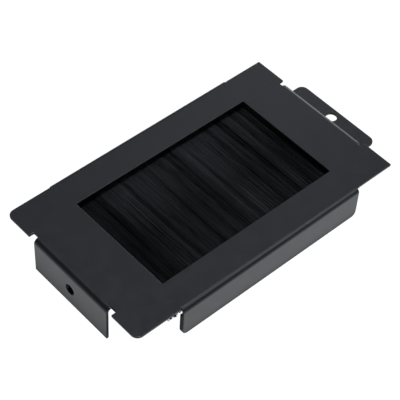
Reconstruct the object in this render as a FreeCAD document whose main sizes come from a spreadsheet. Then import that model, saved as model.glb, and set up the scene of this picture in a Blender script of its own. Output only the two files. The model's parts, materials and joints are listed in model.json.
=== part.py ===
"""Brush cable grommet: a folded sheet-steel frame plate with a strip brush across its window.

Millimetres. The pieces are drawn with X = 0 at the plate's end-flange edge, Y = 0 on its centre line and Z = 0 on
its top face, and are then placed with the origin under the middle of the whole part, at the end flange's lower edge.
"""
import FreeCAD
import Part
import Sketcher
import os
import random

V = FreeCAD.Vector

SIZES = {
    # sheet and folds of the frame plate
    "sheet": 1.5,
    "bend_inner": 1.5,
    "plate_length": 172.7,
    "plate_width": 100.0,
    "plate_corner": 4.0,
    # window for the cables
    "window_start": 30.6,
    "window_length": 114.0,
    "window_width": 65.7,
    # side flanges along the long edges, each with a hem folded flat on its inside
    "side_start": 28.0,
    "side_length": 119.6,
    "side_height": 20.1,
    "side_step": 1.75,
    "side_corner": 3.0,
    "hem_height": 14.0,
    "hem_round": 1.2,
    # end flange with its screw hole
    "end_width": 56.0,
    "end_height": 23.0,
    "end_relief_width": 3.5,
    "end_relief_depth": 3.0,
    "end_hole_diameter": 6.4,
    "end_hole_drop": 12.0,
    # stepped tab with its screw hole
    "tab_width": 56.0,
    "tab_reach": 13.4,
    "tab_drop": 9.4,
    "tab_web_inset": 0.2,
    "tab_relief_width": 2.6,
    "tab_relief_depth": 3.2,
    "tab_corner": 4.0,
    "tab_hole_diameter": 6.4,
    "tab_hole_margin": 5.6,
    # aluminium carrier on the hem of the back flange
    "carrier_inset": 0.8,
    "carrier_clear": 0.3,
    "carrier_wall": 1.2,
    "carrier_leg": 1.8,
    "carrier_foot_margin": 1.8,
    "slot_gap": 0.1,
    # crimped channel, its core wire and the bristles
    "channel_height": 4.6,
    "channel_mouth": 3.4,
    "channel_depth": 6.5,
    "channel_wall": 0.7,
    "wire_diameter": 1.8,
    "fold_thickness": 0.6,
    "tuft_pitch": 1.2,
    "tuft_gap": 0.25,
    "tuft_height": 3.4,
    "tip_width": 0.6,
    "tip_height": 2.2,
    "tip_clear": 1.2,
    "tip_spread": 4.5,
    # countersunk blind rivets
    "rivet_margin": 18.0,
    "rivet_hole_diameter": 3.3,
    "rivet_sink": 1.05,
    "rivet_gap": 0.05,
    "rivet_bulge_diameter": 5.2,
    "rivet_bulge_length": 1.8,
    "mandrel_diameter": 1.8,
    "mandrel_head_diameter": 3.0,
    "mandrel_head_length": 1.1,
    "mandrel_recess": 0.4,
}

RANDOM_SEED = 7


class Size:
    """A length that carries its number and its formula on the sheet's cells."""

    def __init__(self, value, formula):
        self.value = value
        self.formula = formula

    def join(self, other, sign, value):
        """The size that an operation on this one and another gives."""
        right = other.formula if isinstance(other, Size) else repr(float(other))
        return Size(value, f"({self.formula} {sign} {right})")

    def __add__(self, other):
        return self.join(other, "+", self.value + number(other))

    def __sub__(self, other):
        return self.join(other, "-", self.value - number(other))

    def __mul__(self, other):
        return self.join(other, "*", self.value * number(other))

    def __truediv__(self, other):
        return self.join(other, "/", self.value / number(other))

    def __neg__(self):
        return Size(-self.value, f"(-1 * {self.formula})")


def number(size):
    """The plain number of a size or of a number."""
    return size.value if isinstance(size, Size) else float(size)


def make_sheet(doc):
    """The spreadsheet of driving dimensions, and a namespace of sizes that read its cells."""
    sheet = doc.addObject("Spreadsheet::Sheet", "Sizes")
    sizes = {}
    for row, (alias, value) in enumerate(SIZES.items(), start=1):
        sheet.set(f"A{row}", alias)
        sheet.set(f"B{row}", str(value))
        sheet.setAlias(f"B{row}", alias)
        sizes[alias] = Size(value, f"Sizes.{alias}")
    doc.recompute()
    return sizes


doc = FreeCAD.newDocument("brush_cable_grommet")
S = make_sheet(doc)
NONE = Size(0.0, "0")

# sizes that several pieces share
bend_outer = S["sheet"] + S["bend_inner"]
side_face = S["plate_width"] / 2 + S["side_step"]
side_inside = side_face - S["sheet"]
hem_inside = side_inside - S["sheet"]
side_end = S["side_start"] + S["side_length"]
tab_end = S["plate_length"] + S["tab_reach"]
slot_half = S["channel_height"] / 2 + S["slot_gap"]
brush_drop = bend_outer + S["carrier_clear"] + S["carrier_wall"] + slot_half
brush_start = S["side_start"] + S["carrier_inset"]
brush_length = S["side_length"] - S["carrier_inset"] * 2
leg_face = hem_inside - S["carrier_leg"]
channel_back = leg_face - S["slot_gap"]
channel_front = channel_back - S["channel_depth"]
head_foot = brush_drop + slot_half + S["carrier_wall"]
leg_foot = S["side_height"] - S["carrier_foot_margin"]
rivet_drop = (head_foot + leg_foot) / 2
rivet_start = brush_start + S["rivet_margin"]
rivet_pitch = brush_length - S["rivet_margin"] * 2

# where the drawing's origin lies in the finished part
origin_x = -(tab_end / 2)
origin_z = S["end_height"]


def bind(thing, path, size):
    """Ties one property of an object to the sheet."""
    thing.setExpression(path, size.formula)


def new_body(label):
    """A body in the finished part's frame."""
    body = doc.addObject("PartDesign::Body", label)
    body.Label = label
    body.AllowCompound = True
    bind(body, "Placement.Base.x", origin_x)
    bind(body, "Placement.Base.z", origin_z)
    return body


def origin_feature(body, role):
    """One of a body's own origin planes or axes."""
    return next(f for f in body.Origin.OriginFeatures if f.Role == role)


def new_sketch(body, name, plane, shift=(NONE, NONE, NONE)):
    """A sketch on one of the body's origin planes, shifted in the plane's own directions."""
    sketch = body.newObject("Sketcher::SketchObject", name)
    sketch.AttachmentSupport = [(origin_feature(body, plane), "")]
    sketch.MapMode = "FlatFace"
    for axis, size in zip("xyz", shift):
        if size is not NONE:
            bind(sketch, f"AttachmentOffset.Base.{axis}", size)
    return sketch


def fix_point(sketch, geometry, end, at):
    """Holds a sketch point at its two distances from the sketch's origin."""
    for kind, size in zip(("DistanceX", "DistanceY"), at):
        index = sketch.addConstraint(Sketcher.Constraint(kind, -1, 1, geometry, end, size.value))
        bind(sketch, f"Constraints[{index}]", size)


def towards(start, goal, distance):
    """The point at a distance from start, on the upright or level line to goal."""
    moved = []
    for a, b in zip(start, goal):
        gap = b.value - a.value
        level = abs(gap) < 1e-9
        moved.append(a if level else a + distance if gap > 0 else a - distance)
    return tuple(moved)


def outline(sketch, corners):
    """A closed outline through corners (u, v) or (u, v, radius), rounded where a radius is given."""
    stops = []
    for i, corner in enumerate(corners):
        at = corner[:2]
        if len(corner) == 2:
            stops.append((at, at, None))
            continue
        before = towards(at, corners[i - 1][:2], corner[2])
        after = towards(at, corners[(i + 1) % len(corners)][:2], corner[2])
        stops.append((before, after, corner))

    def spot(at):
        return V(at[0].value, at[1].value, 0)

    for i, (before, after, corner) in enumerate(stops):
        leaving = stops[(i + 1) % len(stops)][0]
        if corner:
            u, v, radius = corner
            centre = spot(before) + spot(after) - spot((u, v))
            middle = (spot((u, v)) - centre).normalize() * radius.value + centre
            left_turn = (spot(before) - centre).cross(spot(after) - centre).z > 0
            first, last = (before, after) if left_turn else (after, before)
            arc = sketch.addGeometry(Part.Arc(spot(first), middle, spot(last)), False)
            fix_point(sketch, arc, 1, first)
            fix_point(sketch, arc, 2, last)
            index = sketch.addConstraint(Sketcher.Constraint("Radius", arc, radius.value))
            bind(sketch, f"Constraints[{index}]", radius)
        line = sketch.addGeometry(Part.LineSegment(spot(after), spot(leaving)), False)
        fix_point(sketch, line, 1, after)
        fix_point(sketch, line, 2, leaving)


def circle(sketch, centre, diameter):
    """A circle held by its centre and diameter."""
    at = V(centre[0].value, centre[1].value, 0)
    geometry = sketch.addGeometry(Part.Circle(at, V(0, 0, 1), diameter.value / 2), False)
    fix_point(sketch, geometry, 3, centre)
    index = sketch.addConstraint(Sketcher.Constraint("Diameter", geometry, diameter.value))
    bind(sketch, f"Constraints[{index}]", diameter)


def extrude(body, kind, name, sketch, length, reverse=False):
    """A pad or pocket of a sketch."""
    feature = body.newObject(f"PartDesign::{kind}", name)
    feature.Profile = sketch
    feature.Reversed = reverse
    bind(feature, "Length", length)
    doc.recompute()
    return feature


def turn(body, name, sketch):
    """A full turn of a sketch about its own level axis."""
    feature = body.newObject("PartDesign::Revolution", name)
    feature.Profile = sketch
    feature.ReferenceAxis = (sketch, ["H_Axis"])
    feature.Angle = 360
    doc.recompute()
    return feature


def along(edge, direction):
    """Whether an edge is straight and runs in a direction."""
    return isinstance(edge.Curve, Part.Line) and abs(edge.Curve.Direction.dot(direction)) > 0.999


def dress(body, kind, name, base, size, wanted):
    """A fillet or chamfer on the wanted edges of a feature."""
    names = [f"Edge{i}" for i, edge in enumerate(base.Shape.Edges, start=1) if wanted(edge)]
    feature = body.newObject(f"PartDesign::{kind}", name)
    feature.Base = (base, names)
    bind(feature, "Radius" if kind == "Fillet" else "Size", size)
    doc.recompute()
    return feature


def repeat_along_x(body, name, feature, pitch):
    """A second copy of a feature, one pitch further along X."""
    pattern = body.newObject("PartDesign::LinearPattern", name)
    pattern.Originals = [feature]
    pattern.Direction = (origin_feature(body, "X_Axis"), [""])
    pattern.Occurrences = 2
    bind(pattern, "Length", pitch)
    body.Tip = pattern
    doc.recompute()
    return pattern


# frame plate, from the flat blank to its folds, corners and holes

def plate_blank(body):
    """The flat plate with its window, cut back where the folds begin."""
    half = S["plate_width"] / 2
    fold = side_face - bend_outer
    end_cut = S["end_width"] / 2 + S["end_relief_width"]
    tab_cut = S["tab_width"] / 2 + S["tab_relief_width"]
    tab_root = S["plate_length"] - S["tab_relief_depth"]
    sketch = new_sketch(body, "blank_sketch", "XY_Plane")
    outline(sketch, [
        (NONE, -half, S["plate_corner"]),
        (S["side_start"], -half), (S["side_start"], -fold), (side_end, -fold), (side_end, -half),
        (S["plate_length"], -half),
        (S["plate_length"], -tab_cut), (tab_root, -tab_cut), (tab_root, tab_cut), (S["plate_length"], tab_cut),
        (S["plate_length"], half),
        (side_end, half), (side_end, fold), (S["side_start"], fold), (S["side_start"], half),
        (NONE, half, S["plate_corner"]),
        (NONE, end_cut), (S["end_relief_depth"], end_cut), (S["end_relief_depth"], -end_cut), (NONE, -end_cut),
    ])
    window_end = S["window_start"] + S["window_length"]
    window_half = S["window_width"] / 2
    outline(sketch, [
        (S["window_start"], -window_half), (window_end, -window_half),
        (window_end, window_half), (S["window_start"], window_half),
    ])
    extrude(body, "Pad", "blank", sketch, S["sheet"], reverse=True)


def side_flanges(body):
    """The front flange, folded down from the plate and back on itself, and its mirror at the back."""
    root = -(side_face - bend_outer - S["sheet"])
    foot = -S["side_height"]
    hem_top = foot + S["hem_height"]
    sketch = new_sketch(body, "side_sketch", "YZ_Plane", (NONE, NONE, S["side_start"]))
    outline(sketch, [
        (root, NONE), (-side_face, NONE, bend_outer),
        (-side_face, foot, S["hem_round"]), (-hem_inside, foot, S["hem_round"]),
        (-hem_inside, hem_top), (-side_inside, hem_top),
        (-side_inside, -S["sheet"], S["bend_inner"]), (root, -S["sheet"]),
    ])
    front = extrude(body, "Pad", "front_flange", sketch, S["side_length"])
    mirror = body.newObject("PartDesign::Mirrored", "back_flange")
    mirror.Originals = [front]
    mirror.MirrorPlane = (origin_feature(body, "XZ_Plane"), [""])
    body.Tip = mirror
    doc.recompute()


def end_flange(body):
    """The end flange, folded down flush with the plate's short edge."""
    root = S["end_relief_depth"] + S["sheet"]
    sketch = new_sketch(body, "end_sketch", "XZ_Plane", (NONE, NONE, -(S["end_width"] / 2)))
    outline(sketch, [
        (root, NONE), (NONE, NONE, bend_outer),
        (NONE, -S["end_height"]), (S["sheet"], -S["end_height"]),
        (S["sheet"], -S["sheet"], S["bend_inner"]), (root, -S["sheet"]),
    ])
    extrude(body, "Pad", "end_flange", sketch, S["end_width"])


def stepped_tab(body):
    """The tab, folded down and out again so that it lies below the plate."""
    root = S["plate_length"] - S["tab_relief_depth"] - S["sheet"]
    web = S["plate_length"] - S["tab_web_inset"]
    sketch = new_sketch(body, "tab_sketch", "XZ_Plane", (NONE, NONE, -(S["tab_width"] / 2)))
    outline(sketch, [
        (root, NONE), (web, NONE, bend_outer),
        (web, -S["tab_drop"], S["bend_inner"]),
        (tab_end, -S["tab_drop"]), (tab_end, -(S["tab_drop"] + S["sheet"])),
        (web - S["sheet"], -(S["tab_drop"] + S["sheet"]), bend_outer),
        (web - S["sheet"], -S["sheet"], S["bend_inner"]), (root, -S["sheet"]),
    ])
    return extrude(body, "Pad", "stepped_tab", sketch, S["tab_width"])


def side_corners(body):
    """Rounds the lower corners of both side flanges with one cut across the plate."""
    left, right, foot = S["side_start"], side_end, -S["side_height"]
    top = foot + S["side_corner"] * 1.5
    room = S["side_corner"] / 2
    sketch = new_sketch(body, "side_corner_sketch", "XZ_Plane", (NONE, NONE, -side_face))
    outline(sketch, [
        (left - room, top), (left - room, foot - room), (right + room, foot - room), (right + room, top),
        (right, top), (right, foot, S["side_corner"]), (left, foot, S["side_corner"]), (left, top),
    ])
    return extrude(body, "Pocket", "side_corners", sketch, side_face * 2, reverse=True)


def tab_corners(body, base):
    """Rounds the tab's far corners."""
    def at_tab_corner(edge):
        return along(edge, V(0, 0, 1)) and abs(edge.CenterOfMass.x - tab_end.value) < 1e-3

    return dress(body, "Fillet", "tab_corners", base, S["tab_corner"], at_tab_corner)


def screw_holes(body):
    """The holes through the end flange and the tab."""
    end = new_sketch(body, "end_hole_sketch", "YZ_Plane")
    circle(end, (NONE, -S["end_hole_drop"]), S["end_hole_diameter"])
    extrude(body, "Pocket", "end_hole", end, S["sheet"] * 2, reverse=True)
    tab = new_sketch(body, "tab_hole_sketch", "XY_Plane")
    circle(tab, (tab_end - S["tab_hole_margin"], NONE), S["tab_hole_diameter"])
    extrude(body, "Pocket", "tab_hole", tab, S["tab_drop"] + S["sheet"] * 2)


def rivet_holes(body, name, face, depth):
    """The row of rivet holes, cut inwards from an upright face at the back."""
    sketch = new_sketch(body, f"{name}_sketch", "XZ_Plane", (NONE, NONE, -face))
    circle(sketch, (rivet_start, -rivet_drop), S["rivet_hole_diameter"])
    first = extrude(body, "Pocket", name, sketch, depth, reverse=True)
    return repeat_along_x(body, f"{name}_row", first, rivet_pitch)


def frame_plate():
    """The folded and punched sheet."""
    body = new_body("frame_plate")
    plate_blank(body)
    side_flanges(body)
    end_flange(body)
    stepped_tab(body)
    tab_corners(body, side_corners(body))
    screw_holes(body)
    holes = rivet_holes(body, "rivet_hole", side_face, S["sheet"] * 3)

    def at_rivet_mouth(edge):
        whole_circle = isinstance(edge.Curve, Part.Circle) and edge.isClosed()
        return whole_circle and abs(edge.CenterOfMass.y - side_face.value) < 1e-3

    dress(body, "Chamfer", "rivet_sinks", holes, S["rivet_sink"], at_rivet_mouth)
    return body


# strip brush and what holds it

def brush_carrier():
    """The holder profile: a tapered slot for the channel on a leg against the back flange's hem."""
    body = new_body("brush_carrier")
    head_top = brush_drop - slot_half - S["carrier_wall"]
    mouth_half = S["channel_mouth"] / 2 + S["slot_gap"]
    sketch = new_sketch(body, "carrier_sketch", "YZ_Plane", (NONE, NONE, brush_start))
    outline(sketch, [
        (hem_inside, -head_top), (hem_inside, -leg_foot), (leg_face, -leg_foot), (leg_face, -head_foot),
        (channel_front, -head_foot), (channel_front, -(brush_drop + mouth_half)),
        (leg_face, -(brush_drop + slot_half)), (leg_face, -(brush_drop - slot_half)),
        (channel_front, -(brush_drop - mouth_half)), (channel_front, -head_top),
    ])
    extrude(body, "Pad", "carrier_profile", sketch, brush_length)
    rivet_holes(body, "carrier_hole", hem_inside, S["carrier_leg"] * 2)
    return body


def brush_channel():
    """The crimped channel, closed at the back and pinched at its mouth."""
    body = new_body("brush_channel")
    wall = S["channel_wall"]
    back_half = S["channel_height"] / 2
    mouth_half = S["channel_mouth"] / 2
    sketch = new_sketch(body, "channel_sketch", "YZ_Plane", (NONE, -brush_drop, brush_start))
    outline(sketch, [
        (channel_back, back_half), (channel_back, -back_half),
        (channel_front, -mouth_half), (channel_front, -(mouth_half - wall)),
        (channel_back - wall, -(back_half - wall)), (channel_back - wall, back_half - wall),
        (channel_front, mouth_half - wall), (channel_front, mouth_half),
    ])
    extrude(body, "Pad", "channel_profile", sketch, brush_length)
    return body


wire_y = channel_back - S["channel_wall"] - S["fold_thickness"] - S["wire_diameter"] / 2


def core_wire():
    """The wire that the bristles are folded round."""
    wire = doc.addObject("Part::Cylinder", "core_wire")
    wire.Label = "core_wire"
    bind(wire, "Radius", S["wire_diameter"] / 2)
    bind(wire, "Height", brush_length)
    wire.Placement = FreeCAD.Placement(V(), FreeCAD.Rotation(V(0, 1, 0), 90))
    bind(wire, "Placement.Base.x", origin_x + brush_start)
    bind(wire, "Placement.Base.y", wire_y)
    bind(wire, "Placement.Base.z", origin_z - brush_drop)
    return wire


def rectangle(x, y, z, width, height):
    """The corners of an upright rectangle across Y, round its middle."""
    signs = ((-1, -1), (1, -1), (1, 1), (-1, 1))
    return [V(x + a * width / 2, y, z + b * height / 2) for a, b in signs]


def bar(sections):
    """A closed bar with flat sides through a row of four-cornered sections."""
    rings = [sections[0], sections[-1]]
    for near, far in zip(sections, sections[1:]):
        for i in range(4):
            k = (i + 1) % 4
            rings.append([near[i], near[k], far[k], far[i]])
    faces = [Part.Face(Part.makePolygon(ring + ring[:1])) for ring in rings]
    solid = Part.Solid(Part.Shell(faces))
    if solid.Volume < 0:
        solid.reverse()
    return solid


def tuft(share, draw):
    """One tuft of bristles, at a share of the brush's length, leaning outwards near the ends."""
    mouth_height = S["channel_mouth"].value - 2 * S["channel_wall"].value
    width = S["tuft_pitch"].value - S["tuft_gap"].value
    x = brush_start.value + share * brush_length.value
    side = 2 * share - 1
    spread = S["tip_spread"].value * side * abs(side) ** 3
    y_root = channel_front.value + S["channel_wall"].value
    y_tip = -hem_inside.value + S["tip_clear"].value * draw.uniform(1.0, 2.5)
    y_full = y_root + (y_tip - y_root) / 4
    rise = (S["tuft_height"].value - S["tip_height"].value) / 2 * draw.uniform(-1, 1)
    lean = (S["tuft_gap"].value / 2) * draw.uniform(-1, 1)
    z = -brush_drop.value
    return bar([
        rectangle(x, y_root, z, width, mouth_height),
        rectangle(x, channel_front.value, z, width, mouth_height),
        rectangle(x + spread / 4, y_full, z + rise / 4, width, S["tuft_height"].value),
        rectangle(x + spread + lean, y_tip, z + rise, S["tip_width"].value, S["tip_height"].value),
    ])


def bristles():
    """The bristles: a root folded round the wire in the channel, and a fan of separate tufts."""
    wall = S["channel_wall"].value
    inner_back = channel_back.value - wall
    root_front = channel_front.value
    back_half = S["channel_height"].value / 2 - wall
    front_half = S["channel_mouth"].value / 2 - wall
    start = brush_start.value
    z = -brush_drop.value
    section = [
        V(start, inner_back, z - back_half), V(start, root_front, z - front_half),
        V(start, root_front, z + front_half), V(start, inner_back, z + back_half),
    ]
    along_x = V(brush_length.value, 0, 0)
    root = Part.Face(Part.makePolygon(section + section[:1])).extrude(along_x)
    radius = S["wire_diameter"].value / 2
    bore = Part.makeCylinder(radius, brush_length.value, V(start, wire_y.value, z), V(1, 0, 0))
    count = int(brush_length.value / S["tuft_pitch"].value)
    draw = random.Random(RANDOM_SEED)
    tufts = [tuft((i + 0.5) / count, draw) for i in range(count)]
    feature = doc.addObject("Part::Feature", "bristles")
    feature.Label = "bristles"
    feature.Shape = root.cut(bore).multiFuse(tufts)
    feature.Placement = FreeCAD.Placement(V(origin_x.value, 0, origin_z.value), FreeCAD.Rotation())
    return feature


# rivets through the back flange, its hem and the carrier's leg

def rivet_sketch(body, name):
    """A sketch whose level axis is the first rivet's, with its origin on the flange's outer face."""
    return new_sketch(body, name, "YZ_Plane", (side_face, -rivet_drop, rivet_start))


grip = S["sheet"] * 2 + S["carrier_leg"]
rivet_end = grip + S["rivet_bulge_length"]
mandrel_head = S["mandrel_head_diameter"] / 2


def rivet_bodies():
    """The rivets: a flush head in the flange's countersink and a bulge behind the leg."""
    body = new_body("rivet_bodies")
    bore = S["mandrel_diameter"] / 2
    shank = S["rivet_hole_diameter"] / 2 - S["rivet_gap"]
    bulge = S["rivet_bulge_diameter"] / 2
    sketch = rivet_sketch(body, "rivet_sketch")
    outline(sketch, [
        (NONE, bore), (NONE, shank + S["rivet_sink"]), (-S["rivet_sink"], shank),
        (-grip, shank), (-grip, bulge),
        (-(grip + S["rivet_bulge_length"] / 2), bulge), (-rivet_end, mandrel_head), (-rivet_end, bore),
    ])
    repeat_along_x(body, "rivet_row", turn(body, "rivet", sketch), rivet_pitch)
    return body


def rivet_mandrels():
    """The stems left in the rivets, each with its head at the blind end."""
    body = new_body("rivet_mandrels")
    stem = S["mandrel_diameter"] / 2
    tail = rivet_end + S["mandrel_head_length"]
    sketch = rivet_sketch(body, "mandrel_sketch")
    outline(sketch, [
        (-S["mandrel_recess"], NONE), (-S["mandrel_recess"], stem),
        (-rivet_end, stem), (-rivet_end, mandrel_head), (-tail, stem), (-tail, NONE),
    ])
    repeat_along_x(body, "mandrel_row", turn(body, "mandrel", sketch), rivet_pitch)
    return body


def write(pieces):
    """Checks the whole document, then writes each piece under its own name."""
    doc.recompute()
    for thing in doc.Objects:
        if "Invalid" in thing.State or "Error" in thing.State:
            raise RuntimeError(f"{thing.Label} did not build: {thing.State}")
    for piece in pieces:
        if piece.Shape.isNull() or not piece.Shape.isValid():
            raise RuntimeError(f"{piece.Label} has no valid shape")
    os.makedirs("parts", exist_ok=True)
    for piece in pieces:
        piece.Shape.exportStep(f"parts/{piece.Label}.step")
        print(piece.Label, len(piece.Shape.Solids), "solids,", round(piece.Shape.Volume, 1), "mm3")


write([
    frame_plate(),
    brush_carrier(),
    brush_channel(),
    core_wire(),
    bristles(),
    rivet_bodies(),
    rivet_mandrels(),
])
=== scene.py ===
"""Dresses the brush cable grommet: coated sheet, brush filaments, metal finishes, floor, light and camera.

All sizes are metres in the frame's own axes: +X runs from the end flange to the stepped tab, +Y from the
bristles' tips to their roots, and +Z up through the window.
"""
from __future__ import annotations

import json
import logging
import math
import random
from dataclasses import dataclass, field
from enum import Enum
from typing import Callable

import bmesh
import bpy
from mathutils import Matrix, Vector
from mathutils.kdtree import KDTree

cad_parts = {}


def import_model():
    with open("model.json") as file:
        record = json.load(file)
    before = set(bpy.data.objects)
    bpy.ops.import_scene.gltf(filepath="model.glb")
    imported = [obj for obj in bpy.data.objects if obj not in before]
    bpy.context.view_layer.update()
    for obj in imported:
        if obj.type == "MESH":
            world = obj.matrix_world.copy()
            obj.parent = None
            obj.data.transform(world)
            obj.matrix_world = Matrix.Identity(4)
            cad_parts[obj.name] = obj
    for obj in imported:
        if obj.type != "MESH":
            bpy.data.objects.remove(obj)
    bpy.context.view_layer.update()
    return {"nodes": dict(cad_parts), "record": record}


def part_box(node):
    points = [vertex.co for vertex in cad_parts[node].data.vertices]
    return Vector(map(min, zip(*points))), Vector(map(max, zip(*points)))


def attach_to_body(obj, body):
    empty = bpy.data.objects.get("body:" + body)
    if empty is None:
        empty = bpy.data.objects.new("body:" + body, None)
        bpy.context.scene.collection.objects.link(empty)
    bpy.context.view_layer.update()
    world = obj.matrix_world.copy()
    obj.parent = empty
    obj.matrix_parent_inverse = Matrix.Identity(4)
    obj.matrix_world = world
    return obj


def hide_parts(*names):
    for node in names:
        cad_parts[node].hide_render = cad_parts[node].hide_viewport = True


LOG = logging.getLogger("grommet")
MM = 0.001
BODY = "root"
QUARTER_TURN = math.pi / 2
CLOSE = 0.01 * MM
WHITE = (1.0, 1.0, 1.0, 1.0)
UNIT = (0.0, 1.0)

# The mesh attribute that holds how light each filament is: its random tone, with painted shade and painted
# light.
TONE_WITH_PAINTED_LIGHT = "tone"

# The broad grain's scale as a share of the fine one's, and the ranges of one grain and of both added up.
BROAD_TO_FINE = 0.08
GRAIN_SPAN = (0.3, 0.7)
GRAIN_SUM_SPAN = (0.7, 1.3)

Pair = tuple[float, float]
Triple = tuple[float, float, float]


class Pick(Enum):
    """What a selection in edit mode is made of."""

    VERTS = "VERT"
    EDGES = "EDGE"
    FACES = "FACE"


class Slot(Enum):
    """The record's material slots."""

    COAT = "powder_coat"
    NYLON = "nylon"
    ZINC = "zinc_steel"
    ALUMINIUM = "aluminium"


class Layer(Enum):
    """The heights at which the brush's filaments lie."""

    LOWER = "filaments_lower"
    MIDDLE = "filaments_middle"
    UPPER = "filaments_upper"


def clear_selection() -> None:
    """Leaves edit mode and deselects every object."""
    active = bpy.context.view_layer.objects.active
    if active is not None and active.mode != "OBJECT":
        bpy.ops.object.mode_set(mode="OBJECT")
    bpy.ops.object.select_all(action="DESELECT")


def activate(piece: bpy.types.Object) -> None:
    """Makes a piece the only selected object and the active one.

    Args:
        piece: The object to work on.
    """
    clear_selection()
    piece.select_set(True)
    bpy.context.view_layer.objects.active = piece


def start_edit(piece: bpy.types.Object) -> None:
    """Opens a piece in edit mode.

    Args:
        piece: The mesh object to open.
    """
    activate(piece)
    bpy.ops.object.mode_set(mode="EDIT")


def pick(piece: bpy.types.Object, kind: Pick, wanted: Callable[[Vector], bool]) -> None:
    """Selects the elements of the mesh in edit mode whose middle passes a test.

    Args:
        piece: The mesh object that is open in edit mode.
        kind: Whether vertices, edges or faces are picked.
        wanted: The test on an element's middle.
    """
    bpy.ops.mesh.select_mode(type=kind.value)
    bpy.ops.mesh.select_all(action="DESELECT")
    work = bmesh.from_edit_mesh(piece.data)
    if kind is Pick.VERTS:
        for vert in work.verts:
            vert.select_set(wanted(vert.co))
    elif kind is Pick.EDGES:
        for edge in work.edges:
            edge.select_set(wanted((edge.verts[0].co + edge.verts[1].co) / 2))
    else:
        for face in work.faces:
            face.select_set(wanted(face.calc_center_median()))
    bmesh.update_edit_mesh(piece.data)


def apply_modifier(piece: bpy.types.Object, kind: str, **settings: object) -> None:
    """Adds a modifier to a piece, sets it up and applies it.

    Args:
        piece: The object to change.
        kind: The modifier's type.
        **settings: The modifier's own properties.
    """
    activate(piece)
    bpy.ops.object.modifier_add(type=kind)
    modifier = piece.modifiers[-1]
    for name, value in settings.items():
        setattr(modifier, name, value)
    bpy.ops.object.modifier_apply(modifier=modifier.name)


def apply_place(piece: bpy.types.Object) -> None:
    """Moves an object's place, turn and scale into its mesh.

    Args:
        piece: The object to settle at the origin.
    """
    activate(piece)
    bpy.ops.object.transform_apply(location=True, rotation=True, scale=True)


def near(value: float, goal: float) -> bool:
    """Whether two lengths agree to a hundredth of a millimetre."""
    return abs(value - goal) < CLOSE


def cover(piece: bpy.types.Object, material: bpy.types.Material) -> None:
    """Gives a piece one material all over.

    Args:
        piece: The mesh object.
        material: Its material.
    """
    piece.data.materials.clear()
    piece.data.materials.append(material)


def attach(piece: bpy.types.Object) -> None:
    """Makes a new piece part of the grommet and logs it.

    Args:
        piece: The finished mesh object.
    """
    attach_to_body(piece, BODY)
    LOG.info("%s: %d faces", piece.name, len(piece.data.polygons))


class NodeDesk:
    """A node tree under construction, with short ways to add and join nodes."""

    def __init__(self, tree: bpy.types.NodeTree) -> None:
        """Takes the tree and empties it."""
        self.tree = tree
        tree.nodes.clear()

    def add(self, kind: str, **inputs: object) -> bpy.types.Node:
        """Adds a node and sets or joins its inputs.

        Args:
            kind: The node's type name.
            **inputs: Sockets by name, with _ for a space, each a value or an output socket.

        Returns:
            The new node.
        """
        node = self.tree.nodes.new(kind)
        for name, value in inputs.items():
            self.put(node.inputs[name.replace("_", " ")], value)
        return node

    def put(self, socket: bpy.types.NodeSocket, value: object) -> None:
        """Sets a socket to a value, or joins an output to it.

        Args:
            socket: The input socket.
            value: A plain value, or an output socket.
        """
        if isinstance(value, bpy.types.NodeSocket):
            self.tree.links.new(value, socket)
        else:
            socket.default_value = value

    def mix(self, share: object, low: object, high: object) -> bpy.types.NodeSocket:
        """Mixes two colours.

        Args:
            share: How much of the second colour shows.
            low: The first colour.
            high: The second colour.

        Returns:
            The mixed colour's socket.
        """
        node = self.tree.nodes.new("ShaderNodeMix")
        node.data_type = "RGBA"
        self.put(node.inputs[0], share)
        self.put(node.inputs[6], low)
        self.put(node.inputs[7], high)
        return node.outputs[2]

    def spread(self, value: object, span: Pair, goal: Pair) -> bpy.types.NodeSocket:
        """Maps a value from one range to another, held at the ends.

        Args:
            value: The value's socket.
            span: The range that it comes from.
            goal: The range that it goes to.

        Returns:
            The mapped value's socket.
        """
        node = self.add("ShaderNodeMapRange", From_Min=span[0], From_Max=span[1])
        self.put(node.inputs["To Min"], goal[0])
        self.put(node.inputs["To Max"], goal[1])
        self.put(node.inputs["Value"], value)
        return node.outputs["Result"]

    def math(self, operation: str, first: object, second: object) -> bpy.types.NodeSocket:
        """Joins two values by one operation.

        Args:
            operation: The math node's operation.
            first: The first value.
            second: The second value.

        Returns:
            The result's socket.
        """
        node = self.add("ShaderNodeMath")
        node.operation = operation
        self.put(node.inputs[0], first)
        self.put(node.inputs[1], second)
        return node.outputs[0]


def grain_group() -> bpy.types.NodeTree:
    """Builds the group for a fine stretched grain, shared by the coat, the metals and the filaments.

    Returns:
        A group with inputs Size and Stretch and outputs Fine and Broad, two values from 0 to 1.
    """
    group = bpy.data.node_groups.new("stretched_grain", "ShaderNodeTree")
    group.interface.new_socket("Size", in_out="INPUT", socket_type="NodeSocketFloat")
    group.interface.new_socket("Stretch", in_out="INPUT", socket_type="NodeSocketVector")
    group.interface.new_socket("Fine", in_out="OUTPUT", socket_type="NodeSocketFloat")
    group.interface.new_socket("Broad", in_out="OUTPUT", socket_type="NodeSocketFloat")
    desk = NodeDesk(group)
    given = desk.add("NodeGroupInput")
    place = desk.add("ShaderNodeTexCoord")
    mapping = desk.add("ShaderNodeMapping", Vector=place.outputs["Object"], Scale=given.outputs["Stretch"])
    fine = desk.add("ShaderNodeTexNoise", Vector=mapping.outputs[0], Scale=given.outputs["Size"], Detail=3.0)
    wide = desk.math("MULTIPLY", given.outputs["Size"], BROAD_TO_FINE)
    broad = desk.add("ShaderNodeTexNoise", Vector=mapping.outputs[0], Scale=wide, Detail=2.0)
    out = desk.add("NodeGroupOutput")
    desk.put(out.inputs["Fine"], fine.outputs[0])
    desk.put(out.inputs["Broad"], broad.outputs[0])
    return group


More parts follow.
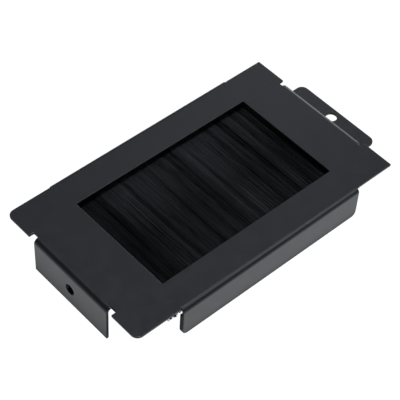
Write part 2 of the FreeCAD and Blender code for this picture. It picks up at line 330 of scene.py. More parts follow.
@dataclass(frozen=True)
class Finish:
    """A surface finish: a colour that varies with a grain, a gloss and a fine relief."""

    name: str
    slot: Slot
    dark: Triple
    light: Triple
    metallic: float
    specular: float
    gloss: Pair
    grain_size: float
    stretch: Triple
    relief: float
    relief_depth: float
    toned: bool = False

    def material(self, group: bpy.types.NodeTree) -> bpy.types.Material:
        """Builds the finish's node material.

        Args:
            group: The shared grain group.

        Returns:
            The material.
        """
        material = bpy.data.materials.new(self.name)
        material.use_nodes = True
        desk = NodeDesk(material.node_tree)
        grain = desk.add("ShaderNodeGroup")
        grain.node_tree = group
        grain.inputs["Size"].default_value = self.grain_size
        grain.inputs["Stretch"].default_value = self.stretch
        both = desk.math("ADD", grain.outputs["Fine"], grain.outputs["Broad"])
        share = desk.spread(both, GRAIN_SUM_SPAN, UNIT)
        if self.toned:
            # The tone attribute carries random tone with painted shade and painted light.
            tone = desk.add("ShaderNodeAttribute")
            tone.attribute_name = TONE_WITH_PAINTED_LIGHT
            share = desk.math("MULTIPLY", share, tone.outputs["Fac"])
        colour = desk.mix(share, (*self.dark, 1.0), (*self.light, 1.0))
        rough = desk.spread(grain.outputs["Broad"], GRAIN_SPAN, self.gloss)
        bump = desk.add("ShaderNodeBump", Strength=self.relief, Distance=self.relief_depth)
        desk.put(bump.inputs["Height"], grain.outputs["Fine"])
        shader = desk.add("ShaderNodeBsdfPrincipled", Base_Color=colour, Roughness=rough)
        shader.inputs["Metallic"].default_value = self.metallic
        shader.inputs["Specular IOR Level"].default_value = self.specular
        desk.put(shader.inputs["Normal"], bump.outputs[0])
        desk.add("ShaderNodeOutputMaterial", Surface=shader.outputs[0])
        return material


POWDER_COAT = Finish(
    name="black_powder_coat", slot=Slot.COAT, dark=(0.0008, 0.0024, 0.0064), light=(0.0016, 0.0036, 0.0086),
    metallic=0.0, specular=0.5, gloss=(0.30, 0.34), grain_size=1500.0, stretch=(1.0, 1.0, 1.0),
    relief=0.8, relief_depth=0.05 * MM,
)
BLACK_NYLON = Finish(
    name="black_nylon_filament", slot=Slot.NYLON,
    dark=(0.0004, 0.0006, 0.0011), light=(0.0232, 0.0248, 0.0295),
    metallic=0.0, specular=0.05, gloss=(0.5, 0.6), grain_size=3000.0, stretch=(1.0, 0.03, 0.6),
    relief=0.05, relief_depth=0.02 * MM, toned=True,
)
BRIGHT_ZINC = Finish(
    name="bright_zinc", slot=Slot.ZINC, dark=(0.48, 0.49, 0.51), light=(0.62, 0.62, 0.61),
    metallic=1.0, specular=0.5, gloss=(0.28, 0.42), grain_size=700.0, stretch=(0.3, 1.0, 1.0),
    relief=0.08, relief_depth=0.02 * MM,
)
MILL_ALUMINIUM = Finish(
    name="mill_aluminium", slot=Slot.ALUMINIUM, dark=(0.62, 0.62, 0.63), light=(0.74, 0.74, 0.74),
    metallic=1.0, specular=0.5, gloss=(0.32, 0.44), grain_size=1500.0, stretch=(0.02, 1.0, 1.0),
    relief=0.15, relief_depth=0.02 * MM,
)
FINISHES = (POWDER_COAT, BLACK_NYLON, BRIGHT_ZINC, MILL_ALUMINIUM)


@dataclass
class FoldedPlate:
    """The coated steel sheet, cut flat and then folded as on a press brake."""

    # Place in the frame
    left: float
    top: float

    # Sheet and window
    sheet: float = 1.5 * MM
    bend_inner: float = 1.5 * MM
    length: float = 172.7 * MM
    width: float = 100.0 * MM
    corner: float = 4.0 * MM
    window_start: float = 30.6 * MM
    window_length: float = 114.0 * MM
    window_width: float = 65.7 * MM

    # Side flanges with their hems
    side_start: float = 28.0 * MM
    side_length: float = 119.6 * MM
    side_height: float = 20.1 * MM
    side_step: float = 1.75 * MM
    side_corner: float = 3.0 * MM
    hem_height: float = 14.0 * MM

    # End flange and stepped tab
    end_width: float = 56.0 * MM
    end_height: float = 23.0 * MM
    end_relief: float = 3.5 * MM
    end_hole_drop: float = 12.0 * MM
    tab_width: float = 56.0 * MM
    tab_reach: float = 13.4 * MM
    tab_drop: float = 9.4 * MM
    tab_web_inset: float = 0.2 * MM
    tab_relief: float = 2.6 * MM
    tab_corner: float = 4.0 * MM
    tab_hole_margin: float = 5.6 * MM

    # Holes
    hole_diameter: float = 6.4 * MM
    rivet_hole_diameter: float = 3.3 * MM
    rivet_sink: float = 1.05 * MM
    rivet_field: float = 6.0 * MM
    cutter_sheets: float = 8.0
    hole_sides: int = 48
    rivet_sides: int = 24

    # Rounds and folds
    edge_round: float = 0.35 * MM
    hem_round: float = 0.6 * MM
    hole_round: float = 0.105 * MM
    round_steps: int = 3
    bend_steps: int = 8
    merge_distance: float = 0.001 * MM
    flat_angle: float = math.radians(1)
    sharp_angle: float = math.radians(40)
    smooth_angle: float = math.radians(35)

    # Shares of a radius, with room for the middles of short edges along it
    arc_share: float = 0.98
    rim_reach: float = 1.05
    piece: bpy.types.Object = field(init=False)

    def build(self) -> None:
        """Makes the sheet from its flat blank to its softened edges."""
        self._blank()
        self._cut_out()
        self._fold_sides()
        self._fold_end()
        self._fold_tab()
        self._round_corners()
        bpy.ops.object.mode_set(mode="OBJECT")
        apply_modifier(self.piece, "SOLIDIFY", thickness=self.sheet, offset=-1.0, use_even_offset=True)
        self._hem()
        self._punch()
        self._mark_rounds()
        apply_modifier(
            self.piece, "BEVEL", width=self.hem_round, segments=self.round_steps, limit_method="WEIGHT",
            use_clamp_overlap=False,
        )
        activate(self.piece)
        bpy.ops.object.shade_smooth_by_angle(angle=self.smooth_angle)
        apply_modifier(self.piece, "WEIGHTED_NORMAL", mode="FACE_AREA", weight=50, keep_sharp=True)

    def dress(self, material: bpy.types.Material) -> None:
        """Coats the finished sheet and puts it in the place of its solid.

        Args:
            material: The coat.
        """
        cover(self.piece, material)
        attach(self.piece)
        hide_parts("frame_plate")

    @property
    def bend_outer(self) -> float:
        """The outer radius of every fold."""
        return self.sheet + self.bend_inner

    @property
    def fold_y(self) -> float:
        """Where the side folds begin, from the centre line."""
        return self.width / 2 + self.side_step - self.bend_outer

    @property
    def web_x(self) -> float:
        """The outer face of the tab's upright web."""
        return self.left + self.length - self.tab_web_inset

    def _x(self, distance: float) -> float:
        """The frame's X at a distance from the end flange's face."""
        return self.left + distance

    def _blank(self) -> None:
        """Adds the flat rectangle, rounds its two end corners and divides it where it is cut or folded."""
        clear_selection()
        middle = (self._x(self.length / 2), 0.0, self.top)
        bpy.ops.mesh.primitive_plane_add(size=1.0, location=middle)
        self.piece = bpy.context.object
        self.piece.name = "coated_plate"
        self.piece.scale = (self.length, self.width, 1.0)
        apply_place(self.piece)
        start_edit(self.piece)
        corner_x, corner_y = self.left, self.width / 2
        self._round(lambda at: near(at.x, corner_x) and near(abs(at.y), corner_y), self.corner)
        along = (
            self.bend_outer, self.side_start, self.window_start, self.window_start + self.window_length,
            self.side_start + self.side_length, self.length - self.tab_web_inset - self.bend_outer,
        )
        across = {
            self.window_width / 2, self.fold_y, self.end_width / 2, self.end_width / 2 + self.end_relief,
            self.tab_width / 2, self.tab_width / 2 + self.tab_relief,
        }
        for distance in along:
            self._divide((self._x(distance), 0.0, 0.0), (1.0, 0.0, 0.0))
        for distance in sorted(across):
            self._divide((0.0, distance, 0.0), (0.0, 1.0, 0.0))
            self._divide((0.0, -distance, 0.0), (0.0, 1.0, 0.0))

    def _divide(self, point: Triple, normal: Triple) -> None:
        """Divides the whole sheet by a plane.

        Args:
            point: A point on the plane.
            normal: The plane's normal.
        """
        bpy.ops.mesh.select_all(action="SELECT")
        bpy.ops.mesh.bisect(plane_co=point, plane_no=normal)

    def _cut_out(self) -> None:
        """Removes the window, the strips beside the side folds and the reliefs at both ends."""
        window = (self._x(self.window_start), self._x(self.window_start + self.window_length))
        sides = (self._x(self.side_start), self._x(self.side_start + self.side_length))
        end = self._x(self.bend_outer)
        tab = self.web_x - self.bend_outer
        end_cut = self.end_width / 2 + self.end_relief
        tab_cut = self.tab_width / 2 + self.tab_relief

        def gone(at: Vector) -> bool:
            """Tells whether a cell of the sheet is cut away.

            Args:
                at: The cell's middle.

            Returns:
                True for a cell of the window, a strip or a relief.
            """
            in_window = window[0] < at.x < window[1] and abs(at.y) < self.window_width / 2
            in_side = sides[0] < at.x < sides[1] and abs(at.y) > self.fold_y
            in_end = at.x < end and abs(at.y) < end_cut
            in_tab = at.x > tab and abs(at.y) < tab_cut
            return in_window or in_side or in_end or in_tab

        pick(self.piece, Pick.FACES, gone)
        bpy.ops.mesh.delete(type="FACE")

    def _fold(self, centre: Vector, axis: Triple) -> None:
        """Turns the picked edges through a quarter circle.

        Args:
            centre: A point on the fold's axis.
            axis: The fold's direction, for a turn by the left hand.
        """
        bpy.ops.mesh.spin(steps=self.bend_steps, angle=QUARTER_TURN, center=centre, axis=axis)

    def _draw_out(self, move: Triple) -> None:
        """Extrudes what is picked by a move."""
        bpy.ops.mesh.extrude_region_move(TRANSFORM_OT_translate={"value": move})

    def _fold_sides(self) -> None:
        """Folds both side flanges down from the long edges."""
        start, end = self._x(self.side_start), self._x(self.side_start + self.side_length)
        for side in (-1.0, 1.0):
            line = side * self.fold_y
            pick(self.piece, Pick.EDGES, lambda at: start < at.x < end and near(at.y, line))
            self._fold(Vector((0.0, line, self.top - self.bend_outer)), (side, 0.0, 0.0))
            self._draw_out((0.0, 0.0, self.bend_outer - self.side_height))

    def _fold_end(self) -> None:
        """Folds the end flange down, flush with the short edge."""
        line = self._x(self.bend_outer)
        half = self.end_width / 2
        pick(self.piece, Pick.EDGES, lambda at: near(at.x, line) and abs(at.y) < half)
        self._fold(Vector((line, 0.0, self.top - self.bend_outer)), (0.0, 1.0, 0.0))
        self._draw_out((0.0, 0.0, self.bend_outer - self.end_height))

    def _fold_tab(self) -> None:
        """Folds the tab down and out again."""
        line = self.web_x - self.bend_outer
        half = self.tab_width / 2
        pick(self.piece, Pick.EDGES, lambda at: near(at.x, line) and abs(at.y) < half)
        self._fold(Vector((line, 0.0, self.top - self.bend_outer)), (0.0, -1.0, 0.0))
        self._draw_out((0.0, 0.0, self.bend_outer + self.bend_inner - self.tab_drop))
        out = self.web_x + self.bend_inner
        self._fold(Vector((out, 0.0, self.top - self.tab_drop + self.bend_inner)), (0.0, 1.0, 0.0))
        self._draw_out((self._x(self.length + self.tab_reach) - out, 0.0, 0.0))

    def _round(self, corner: Callable[[Vector], bool], radius: float) -> None:
        """Rounds corners of the thin sheet.

        Args:
            corner: The test that picks the corners.
            radius: The round's radius.
        """
        pick(self.piece, Pick.VERTS, corner)
        bpy.ops.mesh.bevel(offset=radius, segments=self.bend_steps, affect="VERTICES")

    def _round_corners(self) -> None:
        """Joins the flat cells, then rounds the tab's far corners and the side flanges' lower ones."""
        bpy.ops.mesh.select_all(action="SELECT")
        bpy.ops.mesh.remove_doubles(threshold=self.merge_distance)
        bpy.ops.mesh.dissolve_limited(angle_limit=self.flat_angle)
        ends = (self._x(self.side_start), self._x(self.side_start + self.side_length))
        foot = self.top - self.side_height
        far = self._x(self.length + self.tab_reach)
        self._round(lambda at: near(at.x, far) and near(abs(at.y), self.tab_width / 2), self.tab_corner)
        self._round(lambda at: near(at.z, foot) and any(near(at.x, x) for x in ends), self.side_corner)

    def _hem(self) -> None:
        """Doubles the lower part of both side flanges on the inside, as a hem that is folded flat."""
        inside = self.width / 2 + self.side_step - self.sheet
        hem_top = self.top - self.side_height + self.hem_height
        start_edit(self.piece)
        pick(self.piece, Pick.FACES, lambda at: near(abs(at.y), inside) and at.z < self.top - self.bend_outer)
        bpy.ops.mesh.bisect(plane_co=(0.0, 0.0, hem_top), plane_no=(0.0, 0.0, 1.0))
        for side in (-1.0, 1.0):
            pick(self.piece, Pick.FACES, lambda at: near(at.y, side * inside) and at.z < hem_top)
            self._draw_out((0.0, -side * self.sheet, 0.0))
        bpy.ops.object.mode_set(mode="OBJECT")

    def _mark_rounds(self) -> None:
        """Marks sharp edges for a small round, the hems' feet for a full one and hole rims for the least."""
        share = self.edge_round / self.hem_round
        start_edit(self.piece)
        bpy.ops.mesh.select_mode(type=Pick.EDGES.value)
        bpy.ops.mesh.select_all(action="DESELECT")
        bpy.ops.mesh.edges_select_sharp(sharpness=self.sharp_angle)
        bpy.ops.transform.edge_bevelweight(value=share)
        pick(self.piece, Pick.EDGES, self._on_hem_foot)
        bpy.ops.transform.edge_bevelweight(value=1.0 - share)
        pick(self.piece, Pick.EDGES, self._on_hole)
        bpy.ops.transform.edge_bevelweight(value=self.hole_round / self.hem_round - share)
        bpy.ops.object.mode_set(mode="OBJECT")

    def _on_hem_foot(self, at: Vector) -> bool:
        """Tells whether a point lies on the lower outline of a hem's outer or inner face.

        Args:
            at: The middle of an edge.

        Returns:
            True on the straight foot and on the round corners at its ends.
        """
        face = self.width / 2 + self.side_step
        if not any(near(abs(at.y), y) for y in (face, face - 2 * self.sheet)):
            return False
        foot = self.top - self.side_height
        middle = self._x(self.side_start + self.side_length / 2)
        past = abs(at.x - middle) - self.side_length / 2 + self.side_corner
        below = foot + self.side_corner - at.z
        in_corner = past > 0.0 and below > 0.0
        on_arc = math.hypot(past, below) > self.arc_share * self.side_corner
        return near(at.z, foot) or (in_corner and on_arc)

    def _on_hole(self, at: Vector) -> bool:
        """Tells whether a point lies on the rim of a screw hole.

        Args:
            at: The middle of an edge.

        Returns:
            True on either rim of the end flange's hole or the tab's.
        """
        reach = self.rim_reach * self.hole_diameter / 2
        in_end = at.x < self.left + 2 * self.sheet
        in_tab = at.x > self.web_x + self.bend_inner
        from_end = math.hypot(at.y, at.z - self.top + self.end_hole_drop)
        from_tab = math.hypot(at.y, at.x - self._x(self.length + self.tab_reach - self.tab_hole_margin))
        return (in_end and from_end < reach) or (in_tab and from_tab < reach)

    def _punch(self) -> None:
        """Punches the two screw holes and the sunk rivet holes."""
        through = self.cutter_sheets * self.sheet
        end_hole = Vector((self.left, 0.0, self.top - self.end_hole_drop))
        far = self._x(self.length + self.tab_reach - self.tab_hole_margin)
        tab_hole = Vector((far, 0.0, self.top - self.tab_drop))
        radius = self.hole_diameter / 2
        self._cut_round(end_hole, (0.0, QUARTER_TURN, 0.0), radius, radius, through, self.hole_sides)
        self._cut_round(tab_hole, (0.0, 0.0, 0.0), radius, radius, through, self.hole_sides)
        low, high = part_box("rivet_bodies")
        bulge = (high.z - low.z) / 2
        small = self.rivet_hole_diameter / 2
        sink = 2 * self.rivet_sink
        turn = (QUARTER_TURN, 0.0, 0.0)
        face = self.width / 2 + self.side_step
        places = (low.x + bulge, high.x - bulge)
        self._frame_rivets(places)
        for x in places:
            rivet = Vector((x, face, (low.z + high.z) / 2))
            self._cut_round(rivet, turn, small, small, through, self.rivet_sides)
            self._cut_round(rivet, turn, small + sink, small, sink, self.rivet_sides)

    def _frame_rivets(self, places: Pair) -> None:
        """Divides the back flange on both sides of each rivet, so that each hole lies in a small face.

        Args:
            places: The rivets' places along X.
        """
        start_edit(self.piece)
        for x in places:
            for line in (x - self.rivet_field, x + self.rivet_field):
                pick(self.piece, Pick.FACES, lambda at: at.y > self.fold_y)
                bpy.ops.mesh.bisect(plane_co=(line, 0.0, 0.0), plane_no=(1.0, 0.0, 0.0))
        bpy.ops.object.mode_set(mode="OBJECT")

    def _cut_round(
        self, at: Vector, turn: Triple, start: float, end: float, depth: float, sides: int,
    ) -> None:
        """Cuts a round or tapered hole.

        Args:
            at: The middle of the cutter.
            turn: The cutter's turn from upright.
            start: The cutter's radius at its lower end, before the turn.
            end: Its radius at the upper end.
            depth: Its length.
            sides: How many sides it has.
        """
        clear_selection()
        bpy.ops.mesh.primitive_cone_add(
            vertices=sides, radius1=start, radius2=end, depth=depth, location=at, rotation=turn,
        )
        cutter = bpy.context.object
        apply_modifier(self.piece, "BOOLEAN", object=cutter, operation="DIFFERENCE", solver="EXACT")
        bpy.data.objects.remove(cutter)


@dataclass(frozen=True)
class Filament:
    """One filament: its points from root to tip, and how light it looks, with its painted shade."""

    points: tuple[Vector, ...]
    tone: float


Layers = dict[Layer, list[Filament]]


@dataclass
class FilamentBrush:
    """The brush's filaments, in clumps that run from the channel's mouth to the front flange."""

    # Place in the frame
    start: float
    end: float
    mouth: float
    tip: float
    height: float

    # Packing and shape
    filament: float = 0.26 * MM
    spacing: float = 0.19 * MM
    rows: int = 6
    mouth_half: float = 0.9 * MM
    full_half: float = 1.5 * MM
    clump_least: float = 1.8 * MM
    clump_most: float = 6.0 * MM
    clump_drift: float = 0.5 * MM
    clump_rise: float = 0.7 * MM
    crown: float = 0.5 * MM
    stray_drift: float = 0.35 * MM
    fan: float = 0.5 * MM
    lean_power: float = 1.4
    open_rate: float = 5.0
    wave: float = 0.12 * MM
    wave_turn: float = 5.0
    length_spread: float = 3.0 * MM

    # Random tone, painted light towards the roots and tips, and painted shade at the loose end and in bands,
    # each band by middle and half width
    clump_tone: Pair = (0.62, 0.86)
    tone_spread: float = 0.15
    root_painted_light: float = 2.4
    tip_painted_light: float = 1.7
    band_painted_shade: float = 0.6
    painted_shade_bands: tuple[Pair, ...] = (
        (-48.5 * MM, 2.3 * MM), (-26.0 * MM, 0.6 * MM), (-10.8 * MM, 0.6 * MM), (0.0, 0.6 * MM),
        (17.9 * MM, 0.8 * MM), (34.0 * MM, 2.0 * MM), (44.5 * MM, 2.0 * MM),
    )
    # Painted shade on the sparse loose end and its tufts.
    loose_end_painted_shade: float = 0.4

    # Loose end with its tufts
    loose_end: float = 13.5 * MM
    tufts: int = 3
    tuft_pitch: float = 0.8 * MM
    tuft_size: int = 16
    tuft_level: Pair = (-1.0, -0.4)
    tuft_level_spread: float = 0.1
    tuft_stray: float = 0.15 * MM
    end_spread: float = 5.4 * MM
    end_power: int = 9

    # Mesh and chance
    steps: int = 9
    ring: int = 4
    seed: int = 11
    pieces: list[bpy.types.Object] = field(init=False)

    def build(self) -> None:
        """Makes the filaments, one piece for each layer."""
        draw = random.Random(self.seed)
        paths: Layers = {layer: [] for layer in Layer}
        left = self.start
        while left < self.end:
            width = min(draw.uniform(self.clump_least, self.clump_most), self.end - left)
            self._clump(left, width, draw, paths)
            left += width
        for index in range(self.tufts):
            self._tuft(index, draw, paths)
        self.pieces = [self._piece(layer, filaments) for layer, filaments in paths.items()]

    def dress(self, material: bpy.types.Material) -> None:
        """Colours the filaments and puts them in the place of the bristles' solid.

        Args:
            material: The filaments' material.
        """
        for piece in self.pieces:
            cover(piece, material)
            attach(piece)
            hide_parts("bristles")

    def _clump(self, left: float, width: float, draw: random.Random, paths: Layers) -> None:
        """Lays one clump's filaments in rows from its underside to its crown.

        Args:
            left: The X where the clump starts.
            width: How wide it is at the channel.
            draw: The source of chance.
            paths: The filaments so far, by layer, which the clump adds to.
        """
        drift = draw.gauss(0.0, self.clump_drift)
        rise = draw.uniform(-self.clump_rise, self.clump_rise)
        count = max(2, round(width / self.spacing))
        tone = draw.uniform(*self.clump_tone)
        layers = list(Layer)
        for row in range(self.rows):
            level = 2 * row / (self.rows - 1) - 1
            layer = layers[row * len(layers) // self.rows]
            for index in range(count):
                across = (index + draw.random()) / count
                root = left + across * width
                lift = rise + self.crown * (1 - (2 * across - 1) ** 2)
                lean = drift + self.fan * (2 * across - 1) + draw.gauss(0.0, self.stray_drift)
                # The random tone carries painted shade at the loose end and in the bands.
                own_tone = (tone + draw.gauss(0.0, self.tone_spread)) * self._painted_shade_share(root)
                paths[layer].append(Filament(self._route(root, level, lean, lift, draw), own_tone))

    def _painted_shade_share(self, root: float) -> float:
        """Finds the share of the tone at a root: painted shade makes it less at the loose end and in the
        bands.

        Args:
            root: The root's X.

        Returns:
            The share, from 0 to 1.
        """
        if root < self.start + self.loose_end:
            return self.loose_end_painted_shade
        dark = any(abs(root - middle) < half for middle, half in self.painted_shade_bands)
        return self.band_painted_shade if dark else 1.0

    def _tuft(self, index: int, draw: random.Random, paths: Layers) -> None:
        """Lays one tight tuft at the loose end, whose tips stay together beside the front flange.

        Args:
            index: The tuft's number from the end.
            draw: The source of chance.
            paths: The filaments so far, by layer, which the tuft adds to.
        """
        middle = self.start + (index + 0.5) * self.tuft_pitch
        level = draw.uniform(*self.tuft_level)
        for _ in range(self.tuft_size):
            root = middle + draw.uniform(-0.5, 0.5) * self.tuft_pitch
            lean = middle - root + draw.gauss(0.0, self.tuft_stray)
            height = level + draw.gauss(0.0, self.tuft_level_spread)
            points = self._route(root, height, lean, 0.0, draw)
            # The tufts carry the loose end's painted shade.
            paths[Layer.MIDDLE].append(Filament(points, self.loose_end_painted_shade))

    def _route(
        self, root: float, level: float, lean: float, lift: float, draw: random.Random,
    ) -> tuple[Vector, ...]:
        """Works out one filament's points from its root to its tip.

        Args:
            root: The filament's X at the channel's mouth.
            level: Its height in the pack, from about -1 to 1.
            lean: How far its tip drifts along X.
            lift: How far it rises once it is clear of the channel.
            draw: The source of chance.

        Returns:
            The points, evenly spaced along Y.
        """
        side = 2 * (root - self.start) / (self.end - self.start) - 1
        splay = self.end_spread * side * abs(side) ** self.end_power
        wave = draw.gauss(0.0, self.wave)
        phase = draw.uniform(0.0, math.tau)
        reach = self.tip + self.length_spread * draw.random() ** 2
        points = []
        for step in range(self.steps):
            t = step / (self.steps - 1)
            full = min(1.0, t * self.open_rate)
            half = self.mouth_half + (self.full_half - self.mouth_half) * full * (2 - full)
            sway = wave * math.sin(phase + self.wave_turn * t) * t
            x = root + (lean + splay) * t ** self.lean_power + sway
            y = self.mouth + (reach - self.mouth) * t
            z = self.height + level * half + lift * full
            points.append(Vector((x, y, z)))
        return tuple(points)

    def _piece(self, layer: Layer, filaments: list[Filament]) -> bpy.types.Object:
        """Makes one layer's filaments as thin tubes in one mesh.

        Args:
            layer: The layer, which names the piece.
            filaments: The layer's filaments.

        Returns:
            The piece.
        """
        curve = bpy.data.curves.new(layer.value, "CURVE")
        curve.dimensions = "3D"
        curve.bevel_depth = self.filament / 2
        curve.bevel_resolution = 0
        curve.use_fill_caps = True
        for filament in filaments:
            spline = curve.splines.new("POLY")
            spline.points.add(len(filament.points) - 1)
            for point, at in zip(spline.points, filament.points):
                point.co = (*at, 1.0)
        piece = bpy.data.objects.new(layer.value, curve)
        bpy.context.scene.collection.objects.link(piece)
        activate(piece)
        bpy.ops.object.convert(target="MESH")
        bpy.ops.object.shade_smooth()
        self._tint(bpy.context.object.data, filaments)
        return bpy.context.object

    def _tint(self, mesh: bpy.types.Mesh, filaments: list[Filament]) -> None:
        """Writes each filament's tone, with its painted light towards the ends, to its rings of vertices,
        which it finds by their middles.

        Args:
            mesh: The tubes' mesh.
            filaments: The filaments that it was made from.
        """
        finder = KDTree(len(filaments) * self.steps)
        for number, filament in enumerate(filaments):
            for point in filament.points:
                finder.insert(point, number)
        finder.balance()
        tones = mesh.attributes.new(TONE_WITH_PAINTED_LIGHT, "FLOAT", "POINT")
        for first in range(0, len(mesh.vertices), self.ring):
            ring = range(first, first + self.ring)
            middle = sum((mesh.vertices[index].co for index in ring), Vector()) / self.ring
            _, number, _ = finder.find(middle)
            # Painted light lightens the tone towards the roots and the tips.
            tone = filaments[number].tone * self._painted_light(middle.y)
            for index in ring:
                tones.data[index].value = tone

    def _painted_light(self, y: float) -> float:
        """How much painted light a filament gets at a Y: lighter towards the roots and the tips than at its
        middle.
        """
        away = 2.0 * (y - self.tip) / (self.mouth - self.tip) - 1.0
        return 1.0 + abs(away) * ((self.root_painted_light if away > 0.0 else self.tip_painted_light) - 1.0)


@dataclass(frozen=True)
class SoftBox:
    """A square studio light that points at the part."""

    name: str
    azimuth: float
    elevation: float
    watts: float
    side: float = 0.4
    distance: float = 1.0

    def build(self, aim: Vector) -> None:
        """Adds the light.

        Args:
            aim: The point that it faces.
        """
        turn, lift = math.radians(self.azimuth), math.radians(self.elevation)
        way = Vector((math.sin(turn) * math.cos(lift), math.cos(turn) * math.cos(lift), math.sin(lift)))
        light = bpy.data.lights.new(self.name, "AREA")
        light.shape = "SQUARE"
        light.size = self.side
        light.energy = self.watts
        lamp = bpy.data.objects.new(self.name, light)
        lamp.location = aim + way * self.distance
        lamp.rotation_euler = way.to_track_quat("Z", "Y").to_euler()
        bpy.context.scene.collection.objects.link(lamp)


@dataclass(frozen=True)
class FloorShade:
    """A soft-edged rectangle of painted shadow or painted light on the floor, darker or lighter than the
    rest.
    """

    middle: Pair
    half: Pair
    depth: float = 1.0
    soft: Pair = (2.0 * MM, 2.0 * MM)

    def share(self, desk: NodeDesk, place: Vector) -> bpy.types.NodeSocket:
        """Adds the nodes for the rectangle.

        Args:
            desk: The floor material's node tree.
            place: The floor's own origin.

        Returns:
            A value that is 1 outside the rectangle, and less by the depth inside.
        """
        where = desk.add("ShaderNodeTexCoord")
        mapping = desk.add("ShaderNodeMapping", Vector=where.outputs["Object"])
        mapping.vector_type = "TEXTURE"
        mapping.inputs["Location"].default_value = (self.middle[0] - place.x, self.middle[1] - place.y, 0.0)
        size = desk.add("ShaderNodeVectorMath")
        size.operation = "ABSOLUTE"
        desk.put(size.inputs[0], mapping.outputs[0])
        axes = desk.add("ShaderNodeSeparateXYZ", Vector=size.outputs[0])
        sides = [
            desk.spread(axes.outputs[name], (half - soft, half + soft), UNIT)
            for name, half, soft in zip("XY", self.half, self.soft)
        ]
        return desk.spread(desk.math("MAXIMUM", *sides), UNIT, (1.0 - self.depth, 1.0))


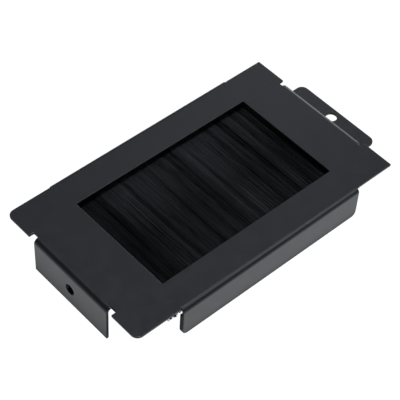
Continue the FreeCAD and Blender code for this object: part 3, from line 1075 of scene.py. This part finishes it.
@dataclass
class Studio:
    """The white floor, the soft light and the camera."""

    # Camera
    aim: Triple = (-13.37 * MM, -5.03 * MM, 23.26 * MM)
    distance: float = 709.6 * MM
    azimuth: float = -44.57
    elevation: float = 48.80
    roll: float = 3.63
    focal_pixels: float = 1410.15
    image_pixels: float = 400.0
    sensor: float = 36.0
    near_clip: float = 10.0 * MM

    # Floor, as the camera sees it and as it lights the part
    floor_side: float = 8.0
    floor_white: float = 1.05
    floor_light: float = 0.66
    floor_tint: Triple = (0.93, 0.955, 0.99)
    # A painted shadow under the part, seen through the window and the end hole.
    seen_shades: tuple[FloorShade, ...] = (
        FloorShade((2.4 * MM, 13.25 * MM), (72.4 * MM, 37.75 * MM), soft=(6.0 * MM, 2.5 * MM)),
        FloorShade((-74.5 * MM, 8.5 * MM), (16.0 * MM, 17.0 * MM), soft=(1.5 * MM, 3.0 * MM)),
    )
    # Painted shade under the part and painted bright bands in front of the front flange and beside the end
    # flange, for the light the floor gives.
    lit_shades_and_painted_glows: tuple[FloorShade, ...] = (
        FloorShade((9.0 * MM, 0.0), (70.0 * MM, 53.3 * MM), soft=(1.2 * MM, 1.2 * MM)),
        FloorShade((-77.0 * MM, 0.0), (16.0 * MM, 49.0 * MM), depth=0.7),
        FloorShade((-1.0 * MM, -63.0 * MM), (95.0 * MM, 13.5 * MM), depth=-0.7),
        FloorShade((-109.0 * MM, 0.0), (11.0 * MM, 58.0 * MM), depth=-0.4),
    )

    # Lights
    surround: float = 0.15
    boxes: tuple[SoftBox, ...] = (
        SoftBox("overhead", azimuth=0.0, elevation=90.0, watts=6.0, side=0.3),
        SoftBox("right_high", azimuth=120.0, elevation=65.0, watts=0.6),
        SoftBox("back", azimuth=0.0, elevation=42.0, watts=0.65),
        SoftBox("right_back", azimuth=45.0, elevation=42.0, watts=0.28),
        SoftBox("right", azimuth=90.0, elevation=42.0, watts=0.35),
        SoftBox("right_front", azimuth=135.0, elevation=42.0, watts=1.2),
        SoftBox("right_front_low", azimuth=135.0, elevation=18.0, watts=0.25),
        SoftBox("right_rim", azimuth=60.0, elevation=12.0, watts=1.7, side=0.45),
    )

    def build(self) -> None:
        """Adds the floor, the surroundings, the lights and the camera."""
        self._floor()
        self._surroundings()
        for box in self.boxes:
            box.build(Vector(self.aim))
        self._camera()
        bpy.context.scene.view_settings.view_transform = "Standard"

    def _floor(self) -> None:
        """Adds the floor at the height of the end flange's lower edge."""
        low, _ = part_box("frame_plate")
        clear_selection()
        bpy.ops.mesh.primitive_plane_add(size=self.floor_side, location=(low.x, 0.0, low.z))
        floor = bpy.context.object
        floor.name = "floor"
        floor.data.materials.append(self._floor_material(floor.location))

    def _floor_material(self, place: Vector) -> bpy.types.Material:
        """Makes a white glow with painted shade under the part and painted bright bands near it, clear when
        seen from below.

        Args:
            place: The floor's own origin.

        Returns:
            The material.
        """
        material = bpy.data.materials.new("white_floor")
        material.use_nodes = True
        desk = NodeDesk(material.node_tree)
        seen, lit = self.floor_white, self.floor_light
        for shade in self.seen_shades:
            seen = desk.math("MULTIPLY", seen, shade.share(desk, place))
        for shade in self.lit_shades_and_painted_glows:
            lit = desk.math("MULTIPLY", lit, shade.share(desk, place))
        ray = desk.add("ShaderNodeLightPath")
        strength = desk.add("ShaderNodeMix", Factor=ray.outputs["Is Camera Ray"])
        desk.put(strength.inputs["A"], lit)
        desk.put(strength.inputs["B"], seen)
        colour = desk.mix(ray.outputs["Is Camera Ray"], (*self.floor_tint, 1.0), WHITE)
        glow = desk.add("ShaderNodeEmission", Color=colour, Strength=strength.outputs["Result"])
        below = desk.add("ShaderNodeNewGeometry")
        clear = desk.add("ShaderNodeBsdfTransparent")
        mix = desk.add("ShaderNodeMixShader")
        desk.put(mix.inputs[0], below.outputs["Backfacing"])
        desk.put(mix.inputs[1], glow.outputs[0])
        desk.put(mix.inputs[2], clear.outputs[0])
        desk.add("ShaderNodeOutputMaterial", Surface=mix.outputs[0])
        return material

    def _surroundings(self) -> None:
        """Makes the surroundings white to the camera and dim as light."""
        world = bpy.data.worlds.new("studio")
        bpy.context.scene.world = world
        world.use_nodes = True
        desk = NodeDesk(world.node_tree)
        dim = desk.add("ShaderNodeBackground", Color=WHITE, Strength=self.surround)
        white = desk.add("ShaderNodeBackground", Color=WHITE, Strength=1.0)
        ray = desk.add("ShaderNodeLightPath")
        mix = desk.add("ShaderNodeMixShader")
        desk.put(mix.inputs[0], ray.outputs["Is Camera Ray"])
        desk.put(mix.inputs[1], dim.outputs[0])
        desk.put(mix.inputs[2], white.outputs[0])
        desk.add("ShaderNodeOutputWorld", Surface=mix.outputs[0])

    def _camera(self) -> None:
        """Adds the camera at the photograph's viewing angle."""
        turn, lift, lean = (math.radians(a) for a in (self.azimuth, self.elevation, self.roll))
        back = Vector((math.sin(turn) * math.cos(lift), -math.cos(turn) * math.cos(lift), math.sin(lift)))
        level = Vector((math.cos(turn), math.sin(turn), 0.0))
        upright = back.cross(level)
        right = level * math.cos(lean) + upright * math.sin(lean)
        up = upright * math.cos(lean) - level * math.sin(lean)
        eye = Vector(self.aim) + back * self.distance
        data = bpy.data.cameras.new("camera")
        data.sensor_fit = "HORIZONTAL"
        data.sensor_width = self.sensor
        data.lens = self.focal_pixels / self.image_pixels * self.sensor
        data.clip_start = self.near_clip
        camera = bpy.data.objects.new("camera", data)
        camera.matrix_world = Matrix((
            (right.x, up.x, back.x, eye.x), (right.y, up.y, back.y, eye.y), (right.z, up.z, back.z, eye.z),
            (0.0, 0.0, 0.0, 1.0),
        ))
        bpy.context.scene.collection.objects.link(camera)
        bpy.context.scene.camera = camera


def dress_solids(frame: dict, materials: dict[Slot, bpy.types.Material]) -> None:
    """Gives every solid of the frame the finish of its slot.

    Args:
        frame: The loaded frame.
        materials: The finished materials by slot.
    """
    for part in frame["record"]["subparts"]:
        node = frame["nodes"][part["node"]]
        slot = Slot(part["material_slot"])
        cover(node, materials[slot])
        LOG.info("%s: solid in %s", node.name, slot.value)


def main() -> None:
    """Builds every piece in order, dresses it and sets the studio."""
    logging.basicConfig(level=logging.INFO, format="%(name)s %(message)s")
    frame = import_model()
    grain = grain_group()
    materials = {finish.slot: finish.material(grain) for finish in FINISHES}

    low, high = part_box("frame_plate")
    plate = FoldedPlate(left=low.x, top=high.z)
    plate.build()
    plate.dress(materials[Slot.COAT])

    channel_low, channel_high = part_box("brush_channel")
    tips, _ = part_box("bristles")
    brush = FilamentBrush(
        start=channel_low.x, end=channel_high.x, mouth=channel_low.y, tip=tips.y,
        height=(channel_low.z + channel_high.z) / 2,
    )
    brush.build()
    brush.dress(materials[Slot.NYLON])

    dress_solids(frame, materials)
    Studio().build()


if __name__ == "__main__":
    main()
